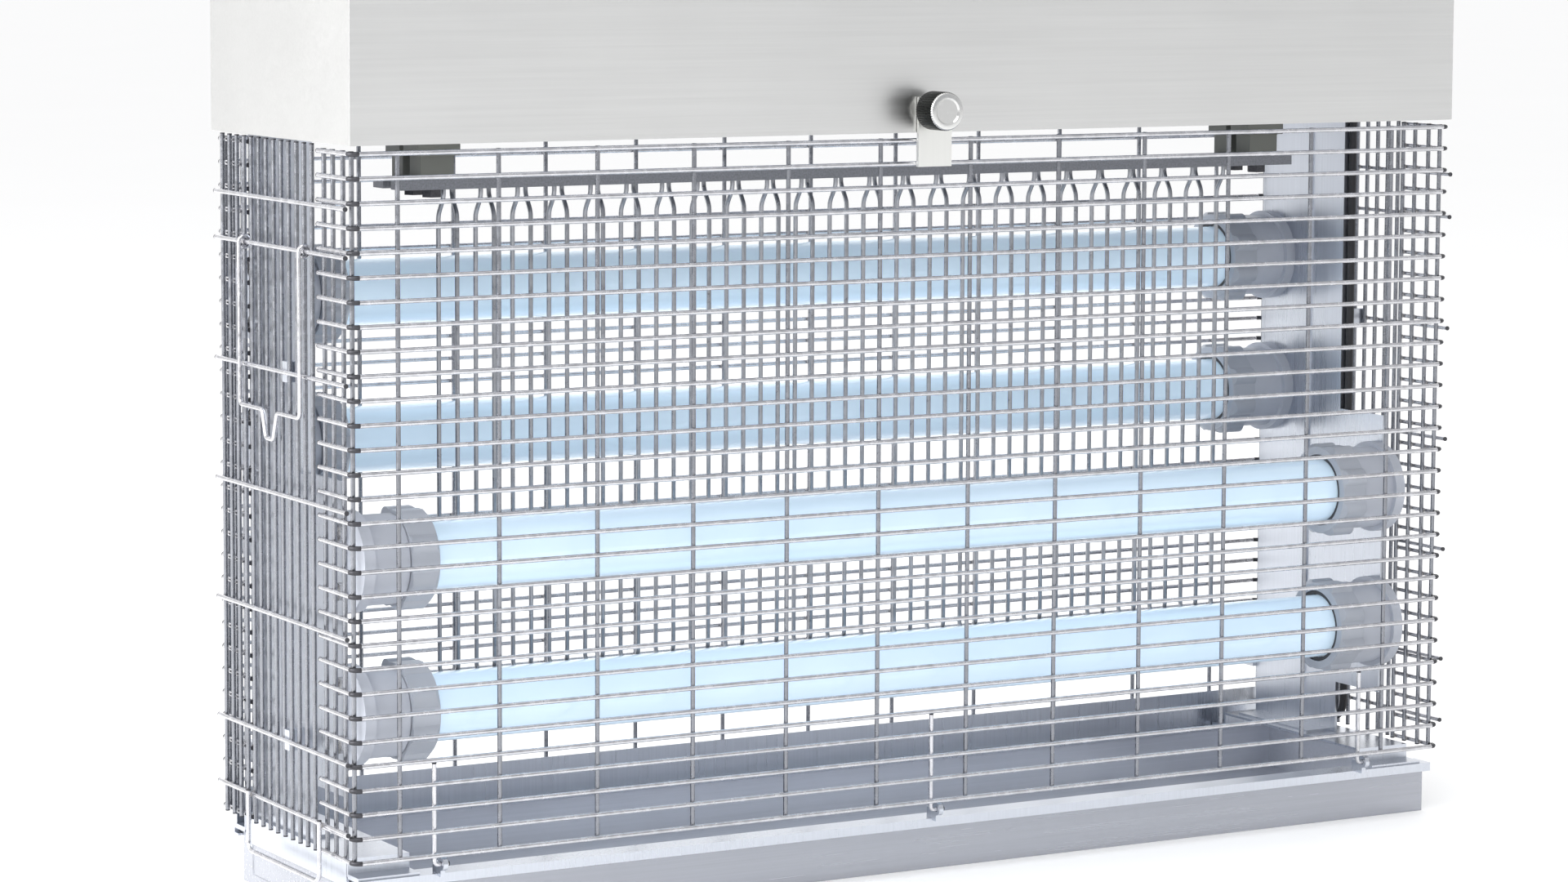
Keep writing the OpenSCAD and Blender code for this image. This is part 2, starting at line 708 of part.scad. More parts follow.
// Wire bail that hangs by two eyes from a cross wire of the left side guard.
// Its lower edge dips in the middle, as a finger grip.
module side_flap() {
    low = flap_z - flap_drop;
    mid_y = (flap_front_y + flap_back_y) / 2;
    half_dip = 7;
    w = wire_r;
    outline = [
        [flap_front_y - w, flap_z], [flap_front_y - w, low + 3], [flap_front_y + 3, low - w],
        [mid_y - half_dip, low - w], [mid_y, low - flap_dip - w], [mid_y + half_dip, low - w],
        [flap_back_y - 3, low - w], [flap_back_y + w, low + 3], [flap_back_y + w, flap_z],
        [flap_back_y - w, flap_z], [flap_back_y - w, low + 3.8], [flap_back_y - 3.8, low + w],
        [mid_y + half_dip - 0.8, low + w], [mid_y, low - flap_dip + w + 0.8],
        [mid_y - half_dip + 0.8, low + w],
        [flap_front_y + 3.8, low + w], [flap_front_y + w, low + 3.8], [flap_front_y + w, flap_z]
    ];
    color([0.82, 0.82, 0.84]) {
        translate([flap_x - w, 0, 0]) rotate([90, 0, 90]) linear_extrude(height = wire_d) polygon(outline);
        for (y = [flap_front_y, flap_back_y]) difference() {
            rod_y(-side_x, y - w, y + w, flap_z, flap_hook_r + w);
            rod_y(-side_x, y - w - 1, y + w + 1, flap_z, flap_hook_r - w);
        }
    }
}

// ---- latch ----

// The tab's thick lower part is welded to the guard's two top wires
module latch_plate() {
    color([0.86, 0.87, 0.86]) difference() {
        union() {
            plate(latch_left, latch_right, latch_front_y, -half_d - latch_gap, latch_low_z, latch_high_z);
            plate(latch_left, latch_right, latch_front_y, -half_d, latch_low_z, guard_top_z + wire_r);
        }
        rod_y(latch_x, latch_front_y - 1, -half_d + 1, latch_z, screw_r + tab_clear);
    }
}

// Thumb screw: collar, head and shank
module latch_knob() {
    collar_y = latch_front_y - latch_gap;
    head_y = collar_y - knob_len;
    chamfer = 0.8;
    color([0.72, 0.72, 0.72]) {
        rod_y(latch_x, collar_y - 3, collar_y, latch_z, 5);
        rod_y(latch_x, head_y + chamfer, collar_y - 2.9, latch_z, knob_r);
        rod_y(latch_x, head_y, head_y + chamfer + 0.1, latch_z, knob_r - chamfer);
        rod_y(latch_x, collar_y - 1, screw_tip_y, latch_z, screw_r);
    }
}

// ---- tray ----

module tray() {
    half = tray_w / 2;
    color([0.72, 0.74, 0.78]) difference() {
        union() {
            plate(tray_left, tray_right, -half, half, 0, tray_h);
            plate(tray_left, tray_right, -half - tray_lip, half + tray_lip, tray_h - tray_t, tray_h);
        }
        plate(tray_left + tray_t, tray_right - tray_t, -half + tray_t, half - tray_t, tray_t, tray_h + 1);
        plate(tray_left - 1, tray_left + panel_depth, -half + panel_inset, half - panel_inset, panel_low_z,
            panel_high_z);
    }
}

// ---- what is drawn ----

housing_shell();
housing_floor();
hanger_plates();
cable_gland();
housing_screws();
transformer_core();
transformer_coil();
ballasts();
terminal_block();
latch_nut();
end_post(LEFT);  // end_post_left
end_post(RIGHT);  // end_post_right
foot_bracket(LEFT);  // foot_bracket_left
foot_bracket(RIGHT);  // foot_bracket_right
runner_front();
runner_back();
lamp_cable();
tray_stirrup();
rail(grid_y - rail_offset, rail_top_z - rail_t);  // rail_top_front
rail(grid_y + rail_offset, rail_top_z - rail_t);  // rail_top_back
rail(grid_y - rail_offset, rail_bottom_z);  // rail_bottom_front
rail(grid_y + rail_offset, rail_bottom_z);  // rail_bottom_back
grid_wires_front();
grid_wires_back();
insulators_top();
insulators_bottom();
rail_bolts();
tube(1);  // tube_1
tube(2);  // tube_2
tube(3);  // tube_3
tube(4);  // tube_4
caps(1);  // caps_1
caps(2);  // caps_2
caps(3);  // caps_3
caps(4);  // caps_4
holders(LEFT);  // holders_left
holders(RIGHT);  // holders_right
holder_screws();
ring_seals();
ring(1, LEFT);  // ring_1_left
ring(2, LEFT);  // ring_2_left
ring(3, LEFT);  // ring_3_left
ring(4, LEFT);  // ring_4_left
ring(1, RIGHT);  // ring_1_right
ring(2, RIGHT);  // ring_2_right
ring(3, RIGHT);  // ring_3_right
ring(4, RIGHT);  // ring_4_right
front_guard_face();
color([0.8, 0.8, 0.82]) guard_return(LEFT, -1, front_x);  // front_guard_left
color([0.8, 0.8, 0.82]) guard_return(RIGHT, -1, front_x);  // front_guard_right
back_guard_face();
color([0.76, 0.76, 0.78]) guard_return(LEFT, 1, back_x);  // back_guard_left
color([0.76, 0.76, 0.78]) guard_return(RIGHT, 1, back_x);  // back_guard_right
side_guard(LEFT);  // side_guard_left
side_guard(RIGHT);  // side_guard_right
guard_clips();
side_flap();
latch_plate();
latch_knob();
tray();
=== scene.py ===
"""Electric insect killer: materials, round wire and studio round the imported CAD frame."""
import json
import math

import bmesh
import bpy
from mathutils import Matrix, Vector


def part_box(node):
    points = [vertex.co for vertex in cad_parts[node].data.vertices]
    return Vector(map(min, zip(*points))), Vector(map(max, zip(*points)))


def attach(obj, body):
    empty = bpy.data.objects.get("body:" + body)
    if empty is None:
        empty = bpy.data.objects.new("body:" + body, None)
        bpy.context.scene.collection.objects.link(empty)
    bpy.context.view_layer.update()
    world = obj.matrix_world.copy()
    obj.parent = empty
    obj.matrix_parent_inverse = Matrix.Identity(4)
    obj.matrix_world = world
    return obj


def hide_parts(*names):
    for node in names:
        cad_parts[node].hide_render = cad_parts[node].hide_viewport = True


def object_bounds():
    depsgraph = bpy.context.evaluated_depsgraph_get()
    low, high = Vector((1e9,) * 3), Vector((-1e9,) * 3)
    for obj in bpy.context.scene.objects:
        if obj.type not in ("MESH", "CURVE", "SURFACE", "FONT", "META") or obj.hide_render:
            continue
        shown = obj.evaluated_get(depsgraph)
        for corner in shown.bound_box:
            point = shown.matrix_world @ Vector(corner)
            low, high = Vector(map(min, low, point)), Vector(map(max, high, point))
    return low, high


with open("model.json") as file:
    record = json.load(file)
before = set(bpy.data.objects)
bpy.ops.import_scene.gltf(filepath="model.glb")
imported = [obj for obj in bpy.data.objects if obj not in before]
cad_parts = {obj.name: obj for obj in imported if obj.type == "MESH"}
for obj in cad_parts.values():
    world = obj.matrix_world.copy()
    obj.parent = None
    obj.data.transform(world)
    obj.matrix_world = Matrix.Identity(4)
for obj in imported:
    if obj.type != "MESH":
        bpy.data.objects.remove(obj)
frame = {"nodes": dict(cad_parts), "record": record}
cad_lo, cad_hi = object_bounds()
MM = 0.001

# ---- sizes that the frame's boxes don't give, in metres ----
WIRE_R = 0.9 * MM
CROSS = 1.7 * MM                 # between the axes of two crossing, welded wires
BEND_R = 3 * MM
TIP = 0.5 * MM                   # length of a wire's sheared tip, painted dark as shade
ROWS, ROW_PITCH = 30, 9 * MM
UPRIGHTS, UPRIGHT_PITCH, FIRST_UPRIGHT = 12, 41 * MM, 20 * MM
RETURN_UPRIGHTS = [d * MM for d in (4.5, 12, 21, 29)]
SIDE_UPRIGHTS, SIDE_PITCH, SIDE_FIRST = 13, 7.06 * MM, 33.7 * MM
SIDE_ROWS = [z * MM for z in (270.3, 252.5, 205.9, 159.3, 112.7, 66.1, 40)]
HOOK_X = [x * MM for x in (-216, 0, 209)]
HOOK_PIN, HOOK_TOP = 6 * MM, 64 * MM
HOOK_BEND_R = WIRE_R * 1.6
HALF_WIDTH = 250 * MM
WELD_LONG, WELD_WIDE = WIRE_R * 1.5, WIRE_R * 1.15    # half-extents of a weld, through and across its wires
GRID_COUNT, GRID_PITCH = 47, 7.85 * MM
TOP_LEAN, TOP_STUB = 10 * MM, 2 * MM    # of a grid wire at its upper rail
LOW_LEAN, LOW_STUB = 8 * MM, 1.5 * MM
LAMPS = range(1, 5)
SIDES = ("left", "right")

# ---- shader helpers ----


class Shader:
    """A node material under construction. Sockets take a number, a colour or another node's output."""

    def __init__(self, name):
        self.material = bpy.data.materials.new(name)
        self.material.use_nodes = True
        self.tree = self.material.node_tree
        self.bsdf = self.tree.nodes["Principled BSDF"]

    def add(self, kind, **inputs):
        node = self.tree.nodes.new("ShaderNode" + kind)
        self.feed(node, **inputs)
        return node

    def feed(self, node, **inputs):
        for key, value in inputs.items():
            socket = node.inputs[int(key[1:]) if key[0] == "_" else key.replace("_", " ")]
            if isinstance(value, bpy.types.NodeSocket):
                self.tree.links.new(value, socket)
            else:
                socket.default_value = value

    def surface(self, **inputs):
        self.feed(self.bsdf, **inputs)

    def place(self, scale=(1, 1, 1)):
        coords = self.add("TexCoord")
        return self.add("Mapping", Vector=coords.outputs["Object"], Scale=scale).outputs[0]

    def noise(self, scale, stretch=(1, 1, 1), detail=4.0, roughness=0.6):
        made = self.add("TexNoise", Vector=self.place(stretch), Scale=scale, Detail=detail,
                        Roughness=roughness)
        return made.outputs["Fac"]

    def span(self, value, low, high, start=0.3, end=0.7):
        made = self.add("MapRange", _0=value, _1=start, _2=end, _3=low, _4=high)
        return made.outputs[0]

    def blend(self, factor, low, high):
        ramp = self.add("ValToRGB", Fac=factor)
        ramp.color_ramp.elements[0].color = (*low, 1)
        ramp.color_ramp.elements[1].color = (*high, 1)
        return ramp.outputs[0]

    def bump(self, height, strength, distance, normal=None):
        made = self.add("Bump", Height=height, Strength=strength, Distance=distance)
        if normal:
            self.feed(made, Normal=normal)
        return made.outputs[0]


def scaled(colour, k):
    return tuple(c * k for c in colour)


def brushed(name, colour, grain, roughness=0.32, spread=0.1, contrast=0.1, metallic=1.0):
    """Satin sheet: fine grain stretched along one axis, with broad cloudy handling marks."""
    s = Shader(name)
    lines = s.noise(900, grain, 3)
    broad = s.noise(9, detail=3)
    mixed = s.add("Math", _0=lines, _1=s.span(broad, -0.12, 0.12))
    tone = s.span(mixed.outputs[0], 0, 1, 0.25, 0.75)
    s.surface(Base_Color=s.blend(tone, scaled(colour, 1 - contrast), colour), Metallic=metallic,
              Roughness=s.span(mixed.outputs[0], roughness - spread / 2, roughness + spread / 2, 0.25, 0.75),
              Normal=s.bump(lines, 0.12, 0.00004))
    return s.material


def drawn_wire(name, colour, roughness=0.2):
    """Bright drawn wire, darker where the forming tool marked it."""
    s = Shader(name)
    marks = s.noise(260, detail=5)
    fine = s.noise(2600, detail=3)
    s.surface(Base_Color=s.blend(s.span(marks, 0, 1), scaled(colour, 0.7), colour), Metallic=1.0,
              Roughness=s.span(marks, roughness - 0.06, roughness + 0.14),
              Normal=s.bump(fine, 0.15, 0.00003))
    return s.material


def dull_metal(name, colour, roughness=0.5):
    """Scaled, cast or blackened metal with a fine crust. Also the near-black painted shade on wire bends,
    sheared wire tips and the knurl.
    """
    s = Shader(name)
    crust = s.noise(1400, detail=6)
    s.surface(Base_Color=s.blend(s.span(crust, 0, 1), scaled(colour, 0.6), colour), Metallic=0.85,
              Roughness=s.span(crust, roughness - 0.1, roughness + 0.15),
              Normal=s.bump(crust, 0.35, 0.00008))
    return s.material


def moulded(name, colour, roughness=0.42, texture=0.25):
    """Moulded plastic: fine spark-eroded texture and a slow change of tone."""
    s = Shader(name)
    grain = s.noise(1800, detail=2)
    cloud = s.noise(35, detail=3)
    s.surface(Base_Color=s.blend(s.span(cloud, 0, 1), scaled(colour, 0.9), colour),
              Roughness=s.span(cloud, roughness - 0.05, roughness + 0.08),
              Normal=s.bump(grain, texture, 0.00005))
    return s.material


def lamp_glass(name):
    """Phosphor coated glass, faintly lit, with a slow cloudy change of tone."""
    s = Shader(name)
    cloud = s.noise(22, (0.4, 1, 1), 3)
    tone = s.span(cloud, 0, 1)
    colour = s.blend(tone, (0.59, 0.75, 0.89), (0.65, 0.80, 0.93))
    s.surface(Base_Color=colour, Emission_Color=colour, Roughness=0.16, Coat_Weight=0.6, Coat_Roughness=0.05,
              Emission_Strength=0.32, Normal=s.bump(cloud, 0.04, 0.0002))
    return s.material


UP, ALONG = (1, 1, 0.012), (0.012, 1, 1)    # stretch of a brushed grain
MATERIALS = {
    "housing_sheet": brushed("housing_sheet", (0.75, 0.75, 0.74), ALONG, 0.36, contrast=0.06),
    "frame_sheet": brushed("frame_sheet", (0.65, 0.68, 0.74), UP, 0.3),
    "tray_sheet": brushed("tray_sheet", (0.46, 0.475, 0.52), ALONG, 0.24, metallic=0.5),
    # the tray's inside is the same sheet as its outside, painted much lighter as painted reflected light
    "tray_inside_painted_light": brushed("tray_inside_painted_light", (0.87, 0.89, 0.95), ALONG, 0.16, metallic=0.5),
    "latch_sheet": brushed("latch_sheet", (0.90, 0.90, 0.87), UP, 0.45, contrast=0.04),
    "knob_steel": brushed("knob_steel", (0.72, 0.72, 0.71), (1, 1, 1), 0.24),
    "cage_wire": drawn_wire("cage_wire", (0.74, 0.74, 0.77)),
    "cage_weld": dull_metal("cage_weld", (0.42, 0.41, 0.41), 0.36),
    # wire bends painted near black as shade where the wire turns away from the light
    "cage_bend_painted_shade": dull_metal("cage_bend_painted_shade", (0.09, 0.09, 0.10), 0.4),
    # the uprights are the same drawn wire as cage_wire, painted darker as shade and dark reflection
    "cage_upright_painted_shade": drawn_wire("cage_upright_painted_shade", (0.32, 0.33, 0.36), 0.22),
    # the knob's knurled side, painted near black as shade
    "knurl_painted_shade": dull_metal("knurl_painted_shade", (0.018, 0.02, 0.018), 0.3),
    # the sheared wire tips, painted dark as shade
    "cut_end_painted_shade": dull_metal("cut_end_painted_shade", (0.10, 0.10, 0.11), 0.5),
    "grid_steel": drawn_wire("grid_steel", (0.42, 0.43, 0.46), 0.3),
    "rail_steel": dull_metal("rail_steel", (0.30, 0.31, 0.34), 0.4),
    "bolt_steel": dull_metal("bolt_steel", (0.10, 0.10, 0.11), 0.4),
    "screw_steel": drawn_wire("screw_steel", (0.62, 0.62, 0.63), 0.24),
    "insulator": moulded("insulator", (0.16, 0.165, 0.145), 0.45),
    "lamp_glass": lamp_glass("lamp_glass"),
    "cap_metal": brushed("cap_metal", (0.78, 0.78, 0.78), ALONG, 0.3),
    "holder_plastic": moulded("holder_plastic", (0.56, 0.59, 0.66)),
    "ring_plastic": moulded("ring_plastic", (0.47, 0.50, 0.56), 0.34),
    "seal_rubber": moulded("seal_rubber", (0.06, 0.06, 0.065), 0.6),
    "cable_black": moulded("cable_black", (0.02, 0.02, 0.024), 0.5, 0.5),
    "gland_plastic": moulded("gland_plastic", (0.16, 0.17, 0.19)),
    "core_steel": dull_metal("core_steel", (0.16, 0.16, 0.17)),
    "coil_tape": moulded("coil_tape", (0.55, 0.32, 0.12), 0.5),
    "ballast_case": brushed("ballast_case", (0.80, 0.81, 0.82), ALONG, 0.35),
    "terminal_plastic": moulded("terminal_plastic", (0.80, 0.79, 0.75), 0.5),
}

SLOT_OF = {row["node"]: row["material_slot"] for row in frame["record"]["subparts"]}
BODY_OF = {node: body for body, nodes in frame["record"]["behaviour"]["bodies"].items() for node in nodes}

# ---- pieces ----


def register(piece, body, slot, *replaced):
    bpy.context.scene.collection.objects.link(piece)
    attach(piece, body)
    if replaced:
        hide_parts(*replaced)
    return piece


def round_corners(corners, radius, steps=5):
    """A polyline's points with each inner corner turned into an arc."""
    corners = [Vector(c) for c in corners]
    path = [corners[0]]
    for before, corner, after in zip(corners, corners[1:], corners[2:]):
        u, v = (before - corner).normalized(), (after - corner).normalized()
        half = u.angle(v) / 2
        centre = corner + (u + v).normalized() * (radius / math.sin(half))
        start = (corner + u * radius / math.tan(half) - centre).normalized()
        end = (corner + v * radius / math.tan(half) - centre).normalized()
        for i in range(steps + 1):
            path.append(centre + start.slerp(end, i / steps) * radius)
    return path + [corners[-1]]


# CUT, BEND and UPRIGHT faces take darker copies of the wire, which is painted shade
WIRE, WELD, CUT, BEND, UPRIGHT = range(5)


class Wires:
    """One mesh of round wires, whose faces are of the five kinds above."""

    def __init__(self, sides=12):
        self.sides = sides
        self.vertices, self.faces, self.kinds = [], [], []

    def rod(self, points, radius=WIRE_R, kind=WIRE, bent=None):
        """A wire along the points, whose sheared tips are painted dark as shade. bent says which points lie
        in a bend.
        """
        points = [Vector(p) for p in points]
        for end, inner in ((0, 1), (-1, -2)):
            tip = points[end] + (points[inner] - points[end]).normalized() * TIP
            points.insert(1 if end == 0 else -1, tip)
        first = points[1] - points[0]
        across = first.orthogonal().normalized()
        start = len(self.vertices)
        for i, point in enumerate(points):
            ahead = (points[i + 1] - point).normalized() if i + 1 < len(points) else Vector()
            behind = (point - points[i - 1]).normalized() if i else Vector()
            tangent = (ahead + behind).normalized()
            across = (across - tangent * across.dot(tangent)).normalized()
            other = tangent.cross(across)
            for k in range(self.sides):
                turn = 2 * math.pi * k / self.sides
                self.vertices.append(point + (across * math.cos(turn) + other * math.sin(turn)) * radius)
        n = self.sides
        for i in range(len(points) - 1):
            for k in range(n):
                a, b = start + i * n + k, start + i * n + (k + 1) % n
                self.faces.append((a, b, b + n, a + n))
                # faces in a bend take the near-black painted-shade material
                short = (points[i + 1] - points[i]).length < BEND_R
                in_bend = bent and short and bent(points[i]) and bent(points[i + 1])
                self.kinds.append(CUT if i in (0, len(points) - 2) else BEND if in_bend else kind)
        last = start + (len(points) - 1) * n
        self.faces += [tuple(range(start + n - 1, start - 1, -1)), tuple(range(last, last + n))]
        self.kinds += [CUT, CUT]

    def weld(self, centre, size, rings=4, sides=8):
        """A small swollen nugget, size metres in half-extent along each axis."""
        centre, start = Vector(centre), len(self.vertices)
        self.vertices.append(centre + Vector((0, 0, size[2])))
        for i in range(1, rings):
            up = math.pi * i / rings
            for k in range(sides):
                turn = 2 * math.pi * k / sides
                self.vertices.append(centre + Vector((size[0] * math.sin(up) * math.cos(turn),
                                                      size[1] * math.sin(up) * math.sin(turn),
                                                      size[2] * math.cos(up))))
        self.vertices.append(centre - Vector((0, 0, size[2])))
        end = len(self.vertices) - 1
        for k in range(sides):
            follow = (k + 1) % sides
            self.faces.append((start, start + 1 + k, start + 1 + follow))
            for i in range(rings - 2):
                a, b = start + 1 + i * sides + k, start + 1 + i * sides + follow
                self.faces.append((a, a + sides, b + sides, b))
            base = start + 1 + (rings - 2) * sides
            self.faces.append((base + k, end, base + follow))
            self.kinds += [WELD] * rings

    def build(self, name, body, slot, *replaced):
        mesh = bpy.data.meshes.new(name)
        mesh.from_pydata(self.vertices, [], self.faces)
        for key in (slot, "cage_weld", "cut_end_painted_shade", "cage_bend_painted_shade", "cage_upright_painted_shade"):
            mesh.materials.append(MATERIALS[key])
        mesh.polygons.foreach_set("material_index", self.kinds)
        mesh.polygons.foreach_set("use_smooth", [len(face) < 5 for face in self.faces])
        mesh.update()
        return register(bpy.data.objects.new(name, mesh), body, slot, *replaced)


def flat_guard(wires, face_node, return_node, s):
    """Front (s = -1) or back (s = 1) mesh with its bent returns."""
    face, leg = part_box(face_node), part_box(return_node)
    face_y = face[0].y + WIRE_R if s < 0 else face[1].y - WIRE_R
    plane_x = face[1].x + BEND_R
    leg_y = leg[1].y if s < 0 else leg[0].y
    top = face[1].z - WIRE_R
    levels = [top - k * ROW_PITCH for k in range(ROWS)]
    upright_y = face_y - s * CROSS

    def bent(point):
        return abs(point.x) > plane_x - BEND_R * 1.01 and abs(point.y) > abs(face_y) - BEND_R * 1.01

    for z in levels:
        wires.rod(round_corners([(-plane_x, leg_y, z), (-plane_x, face_y, z), (plane_x, face_y, z),
                                 (plane_x, leg_y, z)], BEND_R), bent=bent)
    low, high = levels[-1] - WIRE_R, levels[0] + WIRE_R
    weld_size = (WELD_WIDE, WELD_LONG, WELD_WIDE)
    for i in range(UPRIGHTS):
        x = -HALF_WIDTH + FIRST_UPRIGHT + i * UPRIGHT_PITCH
        wires.rod([(x, upright_y, low), (x, upright_y, high)], kind=UPRIGHT)
        for z in levels:
            wires.weld((x, face_y - s * CROSS / 2, z), weld_size)
    outer_y = s * (abs(face_y) + WIRE_R)
    for side in (-1, 1):
        x = side * (plane_x - CROSS)
        for depth in RETURN_UPRIGHTS:
            y = outer_y - s * depth
            wires.rod([(x, y, low), (x, y, high)], kind=UPRIGHT)
            for z in levels:
                wires.weld((side * (plane_x - CROSS / 2), y, z), (WELD_LONG, WELD_WIDE, WELD_WIDE))
    return upright_y


def front_guard():
    wires = Wires()
    hinge_y = flat_guard(wires, "front_guard_face", "front_guard_left", -1)
    hinge_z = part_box("front_guard_face")[0].z + WIRE_R
    for x in HOOK_X:
        corners = [(x, hinge_y, HOOK_TOP), (x, hinge_y, hinge_z), (x + HOOK_PIN, hinge_y, hinge_z)]
        wires.rod(round_corners(corners, HOOK_BEND_R, 4))
    wires.build("front_wire_guard", "front_guard", "cage_wire",
                "front_guard_face", "front_guard_left", "front_guard_right")


def back_guard():
    wires = Wires()
    flat_guard(wires, "back_guard_face", "back_guard_left", 1)
    wires.build("back_wire_guard", "frame", "cage_wire",
                "back_guard_face", "back_guard_left", "back_guard_right")


def side_guard(side, name):
    """Close uprights with cross wires outside them."""
    s = -1 if side == "left" else 1
    lo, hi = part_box("side_guard_" + side)
    cross_x = max(abs(lo.x), abs(hi.x)) - WIRE_R
    upright_x = cross_x - CROSS
    wires = Wires()
    for k in range(SIDE_UPRIGHTS):
        y = lo.y + SIDE_FIRST + k * SIDE_PITCH
        wires.rod([(s * upright_x, y, lo.z), (s * upright_x, y, hi.z)], kind=UPRIGHT)
        for z in SIDE_ROWS:
            wires.weld((s * (cross_x - CROSS / 2), y, z), (WELD_LONG, WELD_WIDE, WELD_WIDE))
    for z in SIDE_ROWS:
        wires.rod([(s * cross_x, lo.y, z), (s * cross_x, hi.y, z)])
    wires.build(name, "frame", "cage_wire", "side_guard_" + side)


def tray_stirrup():
    """Wire loop welded outside the left side guard's lowest cross wire."""
    lo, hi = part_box("tray_stirrup")
    x, front, back, low = lo.x + WIRE_R, lo.y + WIRE_R, hi.y - WIRE_R, lo.z + WIRE_R
    wires = Wires()
    corners = [(x, front, hi.z), (x, front, low), (x, back, low), (x, back, hi.z)]
    wires.rod(round_corners(corners, BEND_R * 1.3))
    for y in (front, back):
        wires.weld((hi.x, y, SIDE_ROWS[-1]), (WIRE_R * 1.5, WIRE_R * 1.2, WIRE_R * 1.2))
    wires.build("tray_wire_stirrup", "frame", "cage_wire", "tray_stirrup")


def side_flap():
    """Wire bail with two hooked eyes and a dipped lower edge."""
    lo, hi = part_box("side_flap")
    x = lo.x + WIRE_R
    eye_r = 2.1 * MM
    eye_x, eye_z = x + eye_r, hi.z - eye_r - WIRE_R
    front, back = lo.y + WIRE_R, hi.y - WIRE_R
    dip, low = lo.z + WIRE_R, lo.z + WIRE_R + 10.5 * MM
    middle, half_dip = (front + back) / 2, 7 * MM
    wires = Wires()

    def eye(y, order):
        ring = [(eye_x - eye_r * math.cos(math.radians(a)), y, eye_z + eye_r * math.sin(math.radians(a)))
                for a in range(0, 331, 30)]
        return ring[::order]

    path = round_corners([(x, front, eye_z), (x, front, low), (x, middle - half_dip, low),
                          (x, middle - half_dip * 0.5, dip), (x, middle + half_dip * 0.5, dip),
                          (x, middle + half_dip, low), (x, back, low), (x, back, eye_z)], 2.2 * MM, 4)
    wires.rod(eye(front, -1) + path[1:-1] + eye(back, 1))
    wires.build("side_wire_flap", "flap", "cage_wire", "side_flap")


def leaning(x, y, middle, top, low, steps=8):
    """A grid wire's points: from each rail it curves smoothly into the grid's middle plane."""
    ease = [(1 - math.cos(math.pi * i / steps)) / 2 for i in range(steps + 1)]
    upper = [(x, y + (middle - y) * e, top - TOP_STUB - TOP_LEAN * i / steps) for i, e in enumerate(ease)]
    lower = [(x, y + (middle - y) * e, low + LOW_STUB + LOW_LEAN * i / steps) for i, e in enumerate(ease)]
    lower.reverse()
    return [(x, y, top)] + upper + lower + [(x, y, low)]


def high_voltage_grid():
    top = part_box("rail_top_front")[0].z
    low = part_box("rail_bottom_front")[1].z
    rails = {-1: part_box("grid_wires_front")[0].y + WIRE_R, 1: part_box("grid_wires_back")[1].y - WIRE_R}
    middle = (rails[-1] + rails[1]) / 2
    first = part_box("grid_wires_front")[0].x + WIRE_R
    for s, start, node in ((-1, 0, "grid_wires_front"), (1, 1, "grid_wires_back")):
        wires = Wires(10)
        for i in range(start, GRID_COUNT, 2):
            x, y = first + i * GRID_PITCH, rails[s]
            wires.rod(leaning(x, y, middle, top, low))
        wires.build("high_voltage_" + node.rsplit("_", 1)[1], "frame", "grid_steel", node)


def knurled_knob():
    """Turned thumb screw: recessed face, knurled rim, collar and shank. The knurled side is painted near
    black as shade.
    """
    lo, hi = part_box("latch_knob")
    axis_x, axis_z = (lo.x + hi.x) / 2, (lo.z + hi.z) / 2
    rim = (hi.x - lo.x) / 2
    collar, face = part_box("latch_plate")[0].y - 0.3 * MM, lo.y
    shank = 2.2 * MM
    profile = [  # distance behind the face, radius, knurled
        (0.5, 0, 0), (0.5, 4.6, 0), (0, 5.2, 0), (0, 6.3, 0), (0.25, 6.9, 0), (0.9, 7.35, 1), (1.5, 7.5, 1),
        (11.2, 7.5, 1), (11.8, 7.3, 1), (12.4, 6.6, 0), (12.5, 5.2, 0), (12.8, 5.0, 0),
    ]
    rings = [(face + d * MM, r * MM, k) for d, r, k in profile]
    rings += [(collar - 0.2 * MM, 5 * MM, 0), (collar, 4.8 * MM, 0), (collar, shank, 0),
              (hi.y - 0.5 * MM, shank, 0), (hi.y, shank - 0.5 * MM, 0), (hi.y, 0, 0)]
    ridges, steps = 48, 4
    count = ridges * steps
    mesh = bpy.data.meshes.new("thumb_screw")
    vertices, faces, dark = [], [], []
    for y, radius, knurled in rings:
        for k in range(count):
            groove = 0.22 * MM * (k % steps == 0) if knurled else 0
            turn = 2 * math.pi * k / count
            r = min(radius, rim) - groove
            vertices.append((axis_x + r * math.cos(turn), y, axis_z + r * math.sin(turn)))
    for i in range(len(rings) - 1):
        for k in range(count):
            a, b = i * count + k, i * count + (k + 1) % count
            faces.append((a, b, b + count, a + count))
            # rings 5 to 11, the knurled side, take the near-black painted-shade material
            dark.append(int(4 < i < 12))
    mesh.from_pydata(vertices, [], faces)
    mesh.polygons.foreach_set("material_index", dark)
    bm = bmesh.new()
    bm.from_mesh(mesh)
    bmesh.ops.remove_doubles(bm, verts=bm.verts, dist=1e-6)
    bmesh.ops.recalc_face_normals(bm, faces=bm.faces)
    bm.to_mesh(mesh)
    bm.free()
    mesh.shade_smooth()
    mesh.set_sharp_from_angle(angle=math.radians(32))
    mesh.materials.append(MATERIALS["knob_steel"])
    mesh.materials.append(MATERIALS["knurl_painted_shade"])
    register(bpy.data.objects.new("thumb_screw", mesh), "knob", "knob_steel", "latch_knob")


def within_tray(point, lo, hi):
    """Whether a face's middle belongs to the tray's inside: its end walls, or what its long walls enclose."""
    skin, end_wall, lip = 0.5 * MM, 1.5 * MM, 4.5 * MM
    in_end_wall = (lo.x + skin < point.x < lo.x + end_wall or hi.x - end_wall < point.x < hi.x - skin)
    enclosed = (lo.x + skin < point.x < hi.x - skin and lo.y + lip - skin < point.y < hi.y - lip + skin
                and lo.z + skin < point.z < hi.z - skin)
    return in_end_wall or enclosed


